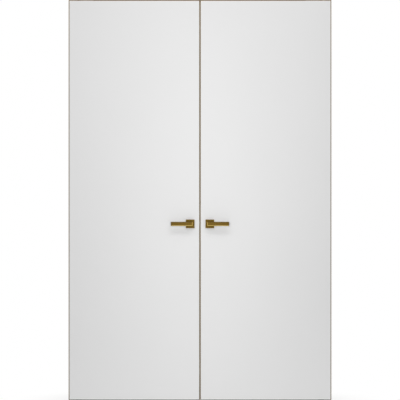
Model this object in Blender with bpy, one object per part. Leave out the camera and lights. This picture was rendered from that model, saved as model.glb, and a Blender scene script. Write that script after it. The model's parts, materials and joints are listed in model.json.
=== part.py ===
"""Flush double door: two pivot-hung leaves with gold edging, lever handles, a latch and flush bolts.

The origin is on the floor under the middle of the pair. +X runs to the right of someone facing the door,
-Y is the side seen from the front, and +Z is up. Measures below are in millimetres.
"""

import math

import bmesh
import bpy
from mathutils import Matrix, Vector

MM = 0.001
FIT = 0.3  # clearance between pieces that touch
RUNNING_FIT = 0.4  # clearance round what turns or slides

# The leaves
LEAF_WIDTH = 786.8
LEAF_HEIGHT = 2400.0
LEAF_THICK = 44.0
MEETING_GAP = 2.5
FLOOR_GAP = 10.0
SKIN_THICK = 6.0
MEETING_STILE_WIDTH = 100.0
PIVOT_STILE_WIDTH = 110.0
TOP_RAIL_HEIGHT = 90.0
BOTTOM_RAIL_HEIGHT = 120.0
CORE_TUBE_DIAMETER = 23.0
CORE_TUBE_PITCH = 36.0

# The gold edging: a flat strip with a tongue on its inner side
EDGE_THICK = 3.0
TONGUE_DEPTH = 6.0
TONGUE_WIDTH = 6.0

# The pivots, on a vertical axis set in from the leaf's outer edge
PIVOT_INSET = 60.0
PIVOT_BLOCK = (80.0, 26.0, 38.0)
FLOOR_PIN_RADIUS = 8.0
FLOOR_PIN_TOP = 42.0
FLOOR_PIN_END_ROOM = 2.0
FLOOR_STRIP_HEIGHT = 6.0
WASHER_RADIUS = 17.0
WASHER_THICK = 2.8
HEAD_PIN_RADIUS = 7.0
BUSH_RADIUS = 12.0
BUSH_HEIGHT = 14.0
HEAD_PIN_SHORT = 1.0  # how far the head pin stops below the bush's top

# The head rail and its stop
HEAD_GAP = 6.0
RAIL_HEIGHT = 40.0
RAIL_BACK = 38.0
RAIL_WALL = 3.0
STOP_HALF_LENGTH = 640.0
STOP_DROP = 16.0
STOP_THICK = 13.4
SEAL_THICK = 1.9
SEAL_ABOVE_STOP_FOOT = 2.0
SEAL_BELOW_LEAF_TOP = 4.0

# The lever handles
HANDLE_BACKSET = 57.5
HANDLE_HEIGHT = 1057.0  # above the leaf's bottom edge
ROSE_SIDE = 52.0
ROSE_DEPTH = 9.0
ROSE_WALL = 1.6
ROSE_BEVEL = 0.8
BASE_DEPTH = 5.0
BASE_TUBE_WALL = 1.3
LEVER_INNER = 16.0  # from the spindle's axis to the lever's short end
LEVER_OUTER = 116.0
LEVER_HEIGHT = 25.0
LEVER_THICK = 10.0
LEVER_BEVEL = 5.0
LEVER_PROJECTION = 58.0
NECK_RADIUS = 9.0
NECK_START = 2.0  # out from the leaf's face
SPINDLE_SIDE = 8.0
SPINDLE_HALF_LENGTH = 54.0
SPINDLE_END_ROOM = 2.0

# The latch on the right leaf and its strike on the left one
FOREND_WIDTH = 22.0
FOREND_BELOW = 100.0
FOREND_ABOVE = 120.0
CASE_DEPTH = 78.0
CASE_THICK = 16.0
CASE_BELOW = 70.0
CASE_ABOVE = 90.0
CASE_WALL = 1.4
FOLLOWER_RADIUS = 10.0
FOLLOWER_END_FIT = 0.1
LATCH_ABOVE_HANDLE = 35.0
LATCH_HEIGHT = 30.0
LATCH_WIDTH = 11.0
LATCH_LENGTH = 37.0
LATCH_RECESS = 0.6
STRIKE_HALF_HEIGHT = 45.0
STRIKE_POCKET = 16.0
STRIKE_WALL = 1.8
STRIKE_SIDE_ROOM = 0.8
STRIKE_END_ROOM = 1.0

# The flush bolts on the left leaf
BOLT_INSET = 20.0
BOLT_RADIUS = 5.0
BOLT_LENGTH = 240.0
BOLT_RECESS = 1.5
BOLT_CHANNEL_ROOM = 0.5
BOLT_HOLE_ROOM = 1.0
THUMB_FROM_END = 200.0
THUMB_HALF_HEIGHT = 8.0
THUMB_HALF_WIDTH = 3.5
THUMB_RECESS = 1.0
THUMB_POCKET_ROOM = 1.4
TOP_BOLT_TRAVEL = 14.0
BOTTOM_BOLT_TRAVEL = 10.0
BOLT_PLATE_WIDTH = 18.0
BOLT_PLATE_HALF_HEIGHT = 45.0

# The seal in the left leaf's meeting edge
MEETING_SEAL_REACH = 2.1
MEETING_SEAL_WIDTH = 3.0
MEETING_SEAL_PLACE = -15.5
MEETING_SEAL_GROOVE = 2.2

# Sizes worked out from the ones above
HALF = LEAF_THICK / 2
HALF_GAP = MEETING_GAP / 2
BOTTOM = FLOOR_GAP
TOP = FLOOR_GAP + LEAF_HEIGHT
INNER = EDGE_THICK + FIT  # where the skins and the timber start, in from the leaf's edges
FRAME_HALF = HALF - SKIN_THICK - FIT
HANDLE_Z = BOTTOM + HANDLE_HEIGHT
BASE_TUBE_RADIUS = NECK_RADIUS + RUNNING_FIT + BASE_TUBE_WALL
SKIN_HOLE_RADIUS = BASE_TUBE_RADIUS + FIT
LATCH_Z = HANDLE_Z + LATCH_ABOVE_HANDLE
PIVOT_AT = LEAF_WIDTH - PIVOT_INSET
RAIL_BOTTOM = TOP + HEAD_GAP
PAIR_HALF = HALF_GAP + LEAF_WIDTH
OVER = 1.0  # how far a cutter runs past the face that it opens
SIDES = {"left": -1, "right": 1}

# Each finish is a colour, a roughness and a metallic value.
FINISHES = {
    "white_paint": ((0.80, 0.80, 0.80), 0.5, 0.0),
    "pine": ((0.62, 0.43, 0.24), 0.65, 0.0),
    "chipboard": ((0.50, 0.36, 0.21), 0.8, 0.0),
    "gold_aluminium": ((0.155, 0.108, 0.047), 0.36, 1.0),
    "bronze_gold": ((0.122, 0.074, 0.015), 0.34, 1.0),
    "steel": ((0.50, 0.50, 0.49), 0.38, 1.0),
    "nylon": ((0.09, 0.09, 0.09), 0.55, 0.0),
    "rubber": ((0.12, 0.085, 0.05), 0.8, 0.0),
}

PLACES = {}


def material(name, finish):
    colour, roughness, metallic = FINISHES[finish]
    made = bpy.data.materials.new(f"{name}_{finish}")
    made.use_nodes = True
    made.diffuse_color = (*colour, 1.0)
    shader = made.node_tree.nodes["Principled BSDF"]
    shader.inputs["Base Color"].default_value = (*colour, 1.0)
    shader.inputs["Roughness"].default_value = roughness
    shader.inputs["Metallic"].default_value = metallic
    return made


def axis_empty(name, place, parent=None):
    """An empty on a joint's axis, for the pieces that turn or slide with it."""
    empty = bpy.data.objects.new(name, None)
    empty.empty_display_size = 0.05
    bpy.context.collection.objects.link(empty)
    PLACES[name] = Vector(place)
    empty.location = PLACES[name] * MM
    if parent:
        empty.parent = parent
        empty.location = (PLACES[name] - PLACES[parent.name]) * MM
    return empty


def to_object(name, bm, parent):
    """Turns a mesh drawn in millimetres, in the door's own frame, into an object on its parent's axis."""
    bmesh.ops.recalc_face_normals(bm, faces=bm.faces)
    place = PLACES[parent.name] if parent else Vector()
    bm.transform(Matrix.Scale(MM, 4) @ Matrix.Translation(-place))
    mesh = bpy.data.meshes.new(name)
    bm.to_mesh(mesh)
    bm.free()
    mesh.shade_smooth()
    mesh.set_sharp_from_angle(angle=math.radians(40))
    made = bpy.data.objects.new(name, mesh)
    made.parent = parent
    bpy.context.collection.objects.link(made)
    return made


def piece(name, bm, finish, parent=None):
    made = to_object(name, bm, parent)
    made.data.materials.append(material(name, finish))
    return made


def shape(target, operation, bm):
    """Joins a mesh to a piece, or takes it away, with a Boolean whose other shape is hidden."""
    count = len(target.modifiers)
    helper = to_object(f"{target.name}_{operation.lower()}_{count}", bm, target.parent)
    helper.hide_render = True
    helper.display_type = "WIRE"
    boolean = target.modifiers.new(helper.name, "BOOLEAN")
    boolean.operation = operation
    boolean.solver = "EXACT"
    boolean.object = helper


def cut(target, *meshes):
    for bm in meshes:
        shape(target, "DIFFERENCE", bm)


def join(target, *meshes):
    for bm in meshes:
        shape(target, "UNION", bm)


def block(low, high):
    low, high = Vector(low), Vector(high)
    low, high = (Vector(map(min, low, high)), Vector(map(max, low, high)))
    bm = bmesh.new()
    size = Matrix.Diagonal((high - low).to_4d())
    bmesh.ops.create_cube(bm, size=1.0, matrix=Matrix.Translation((low + high) / 2) @ size)
    return bm


def rod(start, end, radius, sides=16):
    start, end = Vector(start), Vector(end)
    along = end - start
    turn = along.to_track_quat("Z", "Y").to_matrix().to_4x4()
    bm = bmesh.new()
    bmesh.ops.create_cone(
        bm,
        cap_ends=True,
        segments=sides,
        radius1=radius,
        radius2=radius,
        depth=along.length,
        matrix=Matrix.Translation((start + end) / 2) @ turn,
    )
    return bm


def bevelled(bm, width, chosen):
    """Bevels the edges that a test on their two ends picks out."""
    edges = [edge for edge in bm.edges if chosen(*(vert.co for vert in edge.verts))]
    bmesh.ops.bevel(bm, geom=edges, offset=width, segments=1, affect="EDGES", profile=0.5)
    return bm


def across(side, inset):
    """The X of a point that lies this far in from a leaf's meeting edge."""
    return side * (HALF_GAP + inset)


def leaf_block(side, insets, depths, heights):
    low = (across(side, insets[0]), depths[0], heights[0])
    high = (across(side, insets[1]), depths[1], heights[1])
    return block(low, high)


def edge_strip(side, edge):
    """A mitred strip along one edge of a leaf, with a tongue that sits in the timber's groove."""
    tongue = TONGUE_WIDTH / 2
    deep = EDGE_THICK + TONGUE_DEPTH
    section = [
        (0.0, -HALF),
        (0.0, HALF),
        (EDGE_THICK, HALF),
        (EDGE_THICK, tongue),
        (deep, tongue),
        (deep, -tongue),
        (EDGE_THICK, -tongue),
        (EDGE_THICK, -HALF),
    ]
    upright = edge in ("meeting", "pivot")
    span = (BOTTOM, TOP) if upright else (0.0, LEAF_WIDTH)
    near, far = [], []
    bm = bmesh.new()
    for inward, depth in section:
        for ring, along in ((near, span[0] + inward + FIT / 2), (far, span[1] - inward - FIT / 2)):
            places = {
                "meeting": (inward, along),
                "pivot": (LEAF_WIDTH - inward, along),
                "bottom": (along, BOTTOM + inward),
                "top": (along, TOP - inward),
            }
            inset, height = places[edge]
            ring.append(bm.verts.new((across(side, inset), depth, height)))
    bm.faces.new(near)
    bm.faces.new(far)
    for here in range(len(section)):
        bm.faces.new((near[here - 1], near[here], far[here], far[here - 1]))
    return bm


def drawn_out(bm, move):
    """Draws a flat mesh out into a solid."""
    grown = bmesh.ops.extrude_face_region(bm, geom=bm.faces[:])
    moved = [item for item in grown["geom"] if isinstance(item, bmesh.types.BMVert)]
    bmesh.ops.translate(bm, verts=moved, vec=move)
    return bm


def prism(loops, move):
    """A solid with holes through it: a flat outline and the outlines of its holes, drawn out along move."""
    bm = bmesh.new()
    for loop in loops:
        verts = [bm.verts.new(point) for point in loop]
        for here in range(len(verts)):
            bm.edges.new((verts[here - 1], verts[here]))
    bmesh.ops.triangle_fill(bm, use_beauty=True, use_dissolve=False, edges=bm.edges[:])
    return drawn_out(bm, move)


def upright_outline(side, insets, depth, heights):
    """The corners of a rectangle that stands in the plane of a leaf."""
    corners = zip(
        (insets[0], insets[1], insets[1], insets[0]),
        (heights[0], heights[0], heights[1], heights[1]),
    )
    return [(across(side, inset), depth, height) for inset, height in corners]


def bored_board(side, insets, depths, heights, radius, sides=16):
    """A board in the plane of a leaf, with a round hole through it on the handle's axis."""
    middle = across(side, HANDLE_BACKSET)
    turns = [math.tau * step / sides for step in range(sides)]
    hole = [(middle + radius * math.cos(t), depths[0], HANDLE_Z + radius * math.sin(t)) for t in turns]
    outline = upright_outline(side, insets, depths[0], heights)
    return prism([outline, hole], (0.0, depths[1] - depths[0], 0.0))


def tongue_groove(side):
    """The groove for the edge strips' tongues, which runs all round a leaf."""
    half = TONGUE_WIDTH / 2 + FIT
    deep = EDGE_THICK + TONGUE_DEPTH + FIT
    beside = 2 * EDGE_THICK  # keeps the cutter's mitre lines off the timber's corners
    outer = upright_outline(side, (-beside, LEAF_WIDTH + beside), -half, (BOTTOM - OVER, TOP + OVER))
    inner = upright_outline(side, (deep, LEAF_WIDTH - deep), -half, (BOTTOM + deep, TOP - deep))
    bm = bmesh.new()
    outer, inner = ([bm.verts.new(point) for point in loop] for loop in (outer, inner))
    for here in range(len(outer)):
        bm.faces.new((outer[here - 1], outer[here], inner[here], inner[here - 1]))
    return drawn_out(bm, (0.0, 2 * half, 0.0))


def core_slab(side, insets, heights):
    """A chipboard slab with upright tubes through it."""
    length = insets[1] - insets[0]
    count = int((length - CORE_TUBE_DIAMETER) // CORE_TUBE_PITCH)
    first = insets[0] + (length - (count - 1) * CORE_TUBE_PITCH) / 2
    corners = zip(
        (insets[0], insets[1], insets[1], insets[0]),
        (-FRAME_HALF, -FRAME_HALF, FRAME_HALF, FRAME_HALF),
    )
    loops = [[(across(side, inset), depth, heights[0]) for inset, depth in corners]]
    turns = [math.tau * step / 8 for step in range(8)]
    radius = CORE_TUBE_DIAMETER / 2
    for tube in range(count):
        middle = across(side, first + tube * CORE_TUBE_PITCH)
        loops.append([(middle + radius * math.cos(t), radius * math.sin(t), heights[0]) for t in turns])
    return prism(loops, (0.0, 0.0, heights[1] - heights[0]))


def pivot_pocket(side, heights):
    """The room for a pivot block in the leaf's timber and edging."""
    half_length = PIVOT_BLOCK[0] / 2 + FIT
    half_depth = PIVOT_BLOCK[1] / 2 + FIT
    insets = (PIVOT_AT - half_length, PIVOT_AT + half_length)
    return leaf_block(side, insets, (-half_depth, half_depth), heights)


def bolt_room(side, up):
    """The channel for a flush bolt's rod and the pocket for its thumb piece."""
    room = BOLT_RADIUS + BOLT_CHANNEL_ROOM
    thumb_room = THUMB_HALF_WIDTH + THUMB_POCKET_ROOM
    near = TOP if up else BOTTOM
    inward = -1 if up else 1
    travel = TOP_BOLT_TRAVEL if up else BOTTOM_BOLT_TRAVEL
    thumb = near + inward * THUMB_FROM_END
    rod_heights = (near - inward * OVER, near + inward * (BOLT_LENGTH + BOLT_RECESS + OVER))
    thumb_heights = (
        thumb + inward * (THUMB_HALF_HEIGHT + OVER),
        thumb - inward * (THUMB_HALF_HEIGHT + OVER + travel),
    )
    channel = leaf_block(side, (BOLT_INSET - room, BOLT_INSET + room), (-room, room), rod_heights)
    pocket = leaf_block(side, (EDGE_THICK - OVER, BOLT_INSET), (-thumb_room, thumb_room), thumb_heights)
    return channel, pocket


def bolt_plate_middle(up):
    """The height of the middle of a flush bolt's face plate, on its thumb piece's middle position."""
    if up:
        return TOP - THUMB_FROM_END + TOP_BOLT_TRAVEL / 2
    return BOTTOM + THUMB_FROM_END - BOTTOM_BOLT_TRAVEL / 2


def edge_opening(side, half_width, heights):
    """A way right through the meeting edge's strip and tongue, for a plate that lies flush in it."""
    insets = (-OVER, EDGE_THICK + TONGUE_DEPTH + OVER)
    depths = (-half_width - FIT, half_width + FIT)
    return leaf_block(side, insets, depths, (heights[0] - FIT, heights[1] + FIT))


def make_leaf(name, axis):
    side = SIDES[name]
    far = LEAF_WIDTH - INNER
    low, high = BOTTOM + INNER, TOP - INNER
    thick = (-FRAME_HALF, FRAME_HALF)

    for face, where in (("front", -1), ("back", 1)):
        depths = (where * HALF, where * (HALF - SKIN_THICK))
        skin = bored_board(side, (INNER, far), depths, (low, high), SKIN_HOLE_RADIUS)
        piece(f"{name}_{face}_skin", skin, "white_paint", axis)

    meeting_end = INNER + MEETING_STILE_WIDTH
    pivot_start = far - PIVOT_STILE_WIDTH
    between = (meeting_end + FIT, pivot_start - FIT)
    shapes = {
        "meeting_stile": bored_board(side, (INNER, meeting_end), thick, (low, high), SPINDLE_SIDE),
        "pivot_stile": leaf_block(side, (pivot_start, far), thick, (low, high)),
        "top_rail": leaf_block(side, between, thick, (high - TOP_RAIL_HEIGHT, high)),
        "bottom_rail": leaf_block(side, between, thick, (low, low + BOTTOM_RAIL_HEIGHT)),
    }
    timber = {}
    for part, board in shapes.items():
        timber[part] = piece(f"{name}_{part}", board, "pine", axis)
        cut(timber[part], tongue_groove(side))

    core_heights = (low + BOTTOM_RAIL_HEIGHT + FIT, high - TOP_RAIL_HEIGHT - FIT)
    piece(f"{name}_core", core_slab(side, between, core_heights), "chipboard", axis)

    strips = {}
    for edge in ("meeting", "pivot", "top", "bottom"):
        strips[edge] = piece(f"{name}_{edge}_edge", edge_strip(side, edge), "gold_aluminium", axis)

    for edge, heights in (
        ("top", (TOP - PIVOT_BLOCK[2] - FIT, TOP + OVER)),
        ("bottom", (BOTTOM - OVER, BOTTOM + PIVOT_BLOCK[2] + FIT)),
    ):
        cut(timber["pivot_stile"], pivot_pocket(side, heights))
        cut(strips[edge], pivot_pocket(side, heights))
    make_pivot_blocks(name, side, axis)
    return timber["meeting_stile"], strips


def make_pivot_blocks(name, side, axis):
    """The shoe that turns on the floor pin, and the top block with its pin."""
    half_length, half_depth = PIVOT_BLOCK[0] / 2, PIVOT_BLOCK[1] / 2
    insets = (PIVOT_AT - half_length, PIVOT_AT + half_length)
    middle = across(side, PIVOT_AT)

    shoe_bottom = FLOOR_STRIP_HEIGHT + WASHER_THICK + 2 * FIT
    shoe = leaf_block(side, insets, (-half_depth, half_depth), (shoe_bottom, BOTTOM + PIVOT_BLOCK[2]))
    shoe = piece(f"{name}_pivot_shoe", shoe, "steel", axis)
    pin_end = FLOOR_PIN_TOP + FLOOR_PIN_END_ROOM
    cut(shoe, rod((middle, 0, 0), (middle, 0, pin_end), FLOOR_PIN_RADIUS + RUNNING_FIT))

    top_block = leaf_block(side, insets, (-half_depth, half_depth), (TOP - PIVOT_BLOCK[2], TOP))
    top_block = piece(f"{name}_top_pivot", top_block, "steel", axis)
    pin_top = RAIL_BOTTOM + BUSH_HEIGHT - HEAD_PIN_SHORT
    join(top_block, rod((middle, 0, TOP - PIVOT_BLOCK[2] / 2), (middle, 0, pin_top), HEAD_PIN_RADIUS))


def make_handle(name, leaf_axis, lever_axis):
    """Roses on both faces of a leaf, and the two levers that turn together on one spindle."""
    side = SIDES[name]
    middle = across(side, HANDLE_BACKSET)
    for face, where in (("front", -1), ("back", 1)):
        on_skin = where * (HALF + FIT)
        make_rose(f"{name}_{face}_rose", middle, on_skin, where, leaf_axis)
        make_lever(f"{name}_{face}_lever", side, middle, where, lever_axis)
    half = SPINDLE_SIDE / 2
    spindle = block(
        (middle - half, -SPINDLE_HALF_LENGTH, HANDLE_Z - half),
        (middle + half, SPINDLE_HALF_LENGTH, HANDLE_Z + half),
    )
    piece(f"{name}_spindle", spindle, "steel", lever_axis)


def make_rose(name, middle, on_skin, where, axis):
    def square(side, start, end):
        low = (middle - side / 2, start, HANDLE_Z - side / 2)
        high = (middle + side / 2, end, HANDLE_Z + side / 2)
        return block(low, high)

    def round_bar(radius, start, end):
        return rod((middle, start, HANDLE_Z), (middle, end, HANDLE_Z), radius, 24)

    face = on_skin + where * ROSE_DEPTH
    cover = bevelled(
        square(ROSE_SIDE, on_skin, face),
        ROSE_BEVEL,
        lambda one, two: abs(one.y - face) < 0.01 and abs(two.y - face) < 0.01,
    )
    cover = piece(f"{name}_cover", cover, "bronze_gold", axis)
    inner_side = ROSE_SIDE - 2 * ROSE_WALL
    cut(cover, square(inner_side, on_skin - where * OVER, face - where * ROSE_WALL))
    cut(cover, round_bar(NECK_RADIUS + RUNNING_FIT, on_skin, face + where * OVER))

    base = square(inner_side - 2 * FIT, on_skin, on_skin + where * BASE_DEPTH)
    base = piece(f"{name}_base", base, "nylon", axis)
    inside = where * (HALF - SKIN_THICK)
    join(base, round_bar(BASE_TUBE_RADIUS, inside, on_skin + where * BASE_DEPTH / 2))
    through = (inside - where * OVER, on_skin + where * (BASE_DEPTH + OVER))
    cut(base, round_bar(NECK_RADIUS + RUNNING_FIT, *through))


def make_lever(name, side, middle, where, axis):
    face = where * (HALF + LEVER_PROJECTION)
    back = face - where * LEVER_THICK
    half = LEVER_HEIGHT / 2
    bar = block(
        (middle - side * LEVER_INNER, back, HANDLE_Z - half),
        (middle + side * LEVER_OUTER, face, HANDLE_Z + half),
    )
    bar = bevelled(bar, LEVER_BEVEL, lambda one, two: abs(one.y - face) < 0.01 and abs(two.y - face) < 0.01)
    lever = piece(name, bar, "bronze_gold", axis)
    neck_start = where * (HALF + NECK_START)
    neck_end = back + where * LEVER_THICK / 2
    join(lever, rod((middle, neck_start, HANDLE_Z), (middle, neck_end, HANDLE_Z), NECK_RADIUS, 24))
    socket = SPINDLE_SIDE / 2 + RUNNING_FIT
    cut(lever, block(
        (middle - socket, neck_start - where * OVER, HANDLE_Z - socket),
        (middle + socket, where * (SPINDLE_HALF_LENGTH + SPINDLE_END_ROOM), HANDLE_Z + socket),
    ))


def make_latch(stile, strips, leaf_axis, lever_axis, bolt_axis):
    """The latch in the right leaf: its case, forend, follower and bolt, drawn back."""
    side = SIDES["right"]
    half_case = CASE_THICK / 2
    case_heights = (HANDLE_Z - CASE_BELOW, HANDLE_Z + CASE_ABOVE)
    case_insets = (INNER, INNER + CASE_DEPTH)
    spindle_at = across(side, HANDLE_BACKSET)

    cut(stile, leaf_block(
        side,
        (EDGE_THICK - OVER, case_insets[1] + FIT),
        (-half_case - FIT, half_case + FIT),
        (case_heights[0] - FIT, case_heights[1] + FIT),
    ))
    case = piece(
        "right_latch_case",
        leaf_block(side, case_insets, (-half_case, half_case), case_heights),
        "steel",
        leaf_axis,
    )
    cut(case, leaf_block(
        side,
        (EDGE_THICK - OVER, case_insets[1] - CASE_WALL),
        (-half_case + CASE_WALL, half_case - CASE_WALL),
        (case_heights[0] + CASE_WALL, case_heights[1] - CASE_WALL),
    ))
    ends = ((spindle_at, -HALF, HANDLE_Z), (spindle_at, HALF, HANDLE_Z))
    cut(case, rod(*ends, FOLLOWER_RADIUS + RUNNING_FIT, 24))

    reach = half_case - FOLLOWER_END_FIT
    ends = ((spindle_at, -reach, HANDLE_Z), (spindle_at, reach, HANDLE_Z))
    follower = piece("right_latch_follower", rod(*ends, FOLLOWER_RADIUS, 24), "steel", lever_axis)
    socket = SPINDLE_SIDE / 2 + RUNNING_FIT
    cut(follower, block(
        (spindle_at - socket, -half_case - OVER, HANDLE_Z - socket),
        (spindle_at + socket, half_case + OVER, HANDLE_Z + socket),
    ))

    half_width = FOREND_WIDTH / 2
    heights = (HANDLE_Z - FOREND_BELOW, HANDLE_Z + FOREND_ABOVE)
    forend = leaf_block(side, (0.0, EDGE_THICK), (-half_width, half_width), heights)
    forend = piece("right_latch_forend", forend, "gold_aluminium", leaf_axis)
    cut(strips["meeting"], edge_opening(side, half_width, heights))
    half_bolt, half_height = LATCH_WIDTH / 2, LATCH_HEIGHT / 2
    cut(forend, leaf_block(
        side,
        (-OVER, EDGE_THICK + OVER),
        (-half_bolt - RUNNING_FIT, half_bolt + RUNNING_FIT),
        (LATCH_Z - half_height - RUNNING_FIT, LATCH_Z + half_height + RUNNING_FIT),
    ))
    bolt = leaf_block(
        side,
        (LATCH_RECESS, LATCH_RECESS + LATCH_LENGTH),
        (-half_bolt, half_bolt),
        (LATCH_Z - half_height, LATCH_Z + half_height),
    )
    piece("right_latch_bolt", bolt, "steel", bolt_axis)


def make_strike(stile, strips, axis):
    """The strike in the left leaf: a plate with a pocket behind it for the latch bolt."""
    side = SIDES["left"]
    half_width = FOREND_WIDTH / 2
    heights = (LATCH_Z - STRIKE_HALF_HEIGHT, LATCH_Z + STRIKE_HALF_HEIGHT)
    strike = leaf_block(side, (0.0, EDGE_THICK), (-half_width, half_width), heights)
    strike = piece("left_strike", strike, "gold_aluminium", axis)
    half_pocket = LATCH_WIDTH / 2 + STRIKE_SIDE_ROOM
    half_height = LATCH_HEIGHT / 2 + STRIKE_END_ROOM

    def pocket(insets, more):
        depths = (-half_pocket - more, half_pocket + more)
        return leaf_block(side, insets, depths, (LATCH_Z - half_height - more, LATCH_Z + half_height + more))

    join(strike, pocket((EDGE_THICK / 2, STRIKE_POCKET + STRIKE_WALL), STRIKE_WALL))
    cut(strike, pocket((-OVER, STRIKE_POCKET), 0.0))
    outside = STRIKE_WALL + FIT
    cut(stile, pocket((EDGE_THICK - OVER, STRIKE_POCKET + outside), outside))
    cut(strips["meeting"], edge_opening(side, half_width, heights))


def make_flush_bolt(end, stile, strips, leaf_axis, bolt_axis):
    """A rod that slides out of the left leaf's end, moved by a thumb piece in the meeting edge."""
    side = SIDES["left"]
    up = end == "top"
    near = TOP if up else BOTTOM
    inward = -1 if up else 1
    at = across(side, BOLT_INSET)
    thumb = near + inward * THUMB_FROM_END
    travel = TOP_BOLT_TRAVEL if up else BOTTOM_BOLT_TRAVEL
    channel, pocket = bolt_room(side, up)
    cut(stile, channel, pocket)
    cut(strips[end], bolt_room(side, up)[0])

    start = near + inward * BOLT_RECESS
    bolt = rod((at, 0, start), (at, 0, start + inward * BOLT_LENGTH), BOLT_RADIUS, 12)
    bolt = piece(f"left_{end}_flush_bolt", bolt, "steel", bolt_axis)
    thumb_heights = (thumb - THUMB_HALF_HEIGHT, thumb + THUMB_HALF_HEIGHT)
    thumb_depths = (-THUMB_HALF_WIDTH, THUMB_HALF_WIDTH)
    join(bolt, leaf_block(side, (THUMB_RECESS, BOLT_INSET), thumb_depths, thumb_heights))

    middle = bolt_plate_middle(up)
    half_width = BOLT_PLATE_WIDTH / 2
    heights = (middle - BOLT_PLATE_HALF_HEIGHT, middle + BOLT_PLATE_HALF_HEIGHT)
    plate = leaf_block(side, (0.0, EDGE_THICK), (-half_width, half_width), heights)
    plate = piece(f"left_{end}_bolt_plate", plate, "gold_aluminium", leaf_axis)
    reach = THUMB_HALF_HEIGHT + travel / 2 + BOLT_CHANNEL_ROOM
    slot = THUMB_HALF_WIDTH + RUNNING_FIT
    cut(plate, leaf_block(side, (-OVER, EDGE_THICK + OVER), (-slot, slot), (middle - reach, middle + reach)))
    cut(strips["meeting"], edge_opening(side, half_width, heights))


def make_meeting_seal(strips, axis):
    """A strip in a groove near the front of the left leaf's meeting edge, which closes the gap to the eye."""
    side = SIDES["left"]
    half = MEETING_SEAL_WIDTH / 2
    depths = (MEETING_SEAL_PLACE - half, MEETING_SEAL_PLACE + half)
    groove_depths = (depths[0] - FIT, depths[1] + FIT)
    cut(strips["meeting"], leaf_block(
        side, (-OVER, MEETING_SEAL_GROOVE), groove_depths, (BOTTOM - OVER, TOP + OVER)
    ))
    insets = (-MEETING_SEAL_REACH, MEETING_SEAL_GROOVE - FIT)
    heights = (BOTTOM + INNER, TOP - INNER)
    piece("left_meeting_seal", leaf_block(side, insets, depths, heights), "rubber", axis)


def make_head():
    """The rail over the leaves, with its stop, seal and pivot bushes."""
    rail_top = RAIL_BOTTOM + RAIL_HEIGHT
    rail = block((-PAIR_HALF, -HALF, RAIL_BOTTOM), (PAIR_HALF, RAIL_BACK, rail_top))
    rail = piece("head_rail", rail, "white_paint")
    cut(rail, block(
        (-PAIR_HALF - OVER, -HALF + RAIL_WALL, RAIL_BOTTOM + RAIL_WALL),
        (PAIR_HALF + OVER, RAIL_BACK - RAIL_WALL, rail_top - RAIL_WALL),
    ))
    for name, side in SIDES.items():
        at = across(side, PIVOT_AT)
        low, high = (at, 0, RAIL_BOTTOM), (at, 0, RAIL_BOTTOM + BUSH_HEIGHT)
        bush = piece(f"{name}_top_bush", rod(low, high, BUSH_RADIUS, 24), "nylon")
        through = ((at, 0, RAIL_BOTTOM - OVER), (at, 0, RAIL_BOTTOM + BUSH_HEIGHT + OVER))
        cut(bush, rod(*through, HEAD_PIN_RADIUS + RUNNING_FIT, 24))
        cut(rail, rod(*through, BUSH_RADIUS + FIT, 24))
    room = BOLT_RADIUS + BOLT_HOLE_ROOM
    bolt_at = across(SIDES["left"], BOLT_INSET)
    cut(rail, block(
        (bolt_at - room, -room, RAIL_BOTTOM - OVER),
        (bolt_at + room, room, RAIL_BOTTOM + RAIL_WALL + OVER),
    ))

    stop_front = RAIL_BACK - STOP_THICK
    piece("head_stop", block(
        (-STOP_HALF_LENGTH, stop_front, TOP - STOP_DROP),
        (STOP_HALF_LENGTH, RAIL_BACK, RAIL_BOTTOM - FIT),
    ), "white_paint")
    piece("head_seal", block(
        (-STOP_HALF_LENGTH, stop_front - FIT - SEAL_THICK, TOP - STOP_DROP + SEAL_ABOVE_STOP_FOOT),
        (STOP_HALF_LENGTH, stop_front - FIT, TOP - SEAL_BELOW_LEAF_TOP),
    ), "rubber")


def make_floor_fittings():
    """The strip along the floor, with the pins that carry the leaves, and their washers."""
    strip = block((-PAIR_HALF, -HALF, 0.0), (PAIR_HALF, HALF, FLOOR_STRIP_HEIGHT))
    strip = piece("floor_strip", strip, "steel")
    for name, side in SIDES.items():
        at = across(side, PIVOT_AT)
        piece(f"{name}_floor_pin", rod((at, 0, 0), (at, 0, FLOOR_PIN_TOP), FLOOR_PIN_RADIUS, 24), "steel")
        through = ((at, 0, -OVER), (at, 0, FLOOR_PIN_TOP))
        cut(strip, rod(*through, FLOOR_PIN_RADIUS + FIT, 24))
        start = FLOOR_STRIP_HEIGHT + FIT
        washer = rod((at, 0, start), (at, 0, start + WASHER_THICK), WASHER_RADIUS, 24)
        washer = piece(f"{name}_thrust_washer", washer, "nylon")
        cut(washer, rod(*through, FLOOR_PIN_RADIUS + RUNNING_FIT, 24))

    at = across(SIDES["left"], BOLT_INSET)
    room = BOLT_RADIUS + BOLT_HOLE_ROOM
    cut(strip, block((at - room, -room, -OVER), (at + room, room, FLOOR_STRIP_HEIGHT + OVER)))


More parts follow.
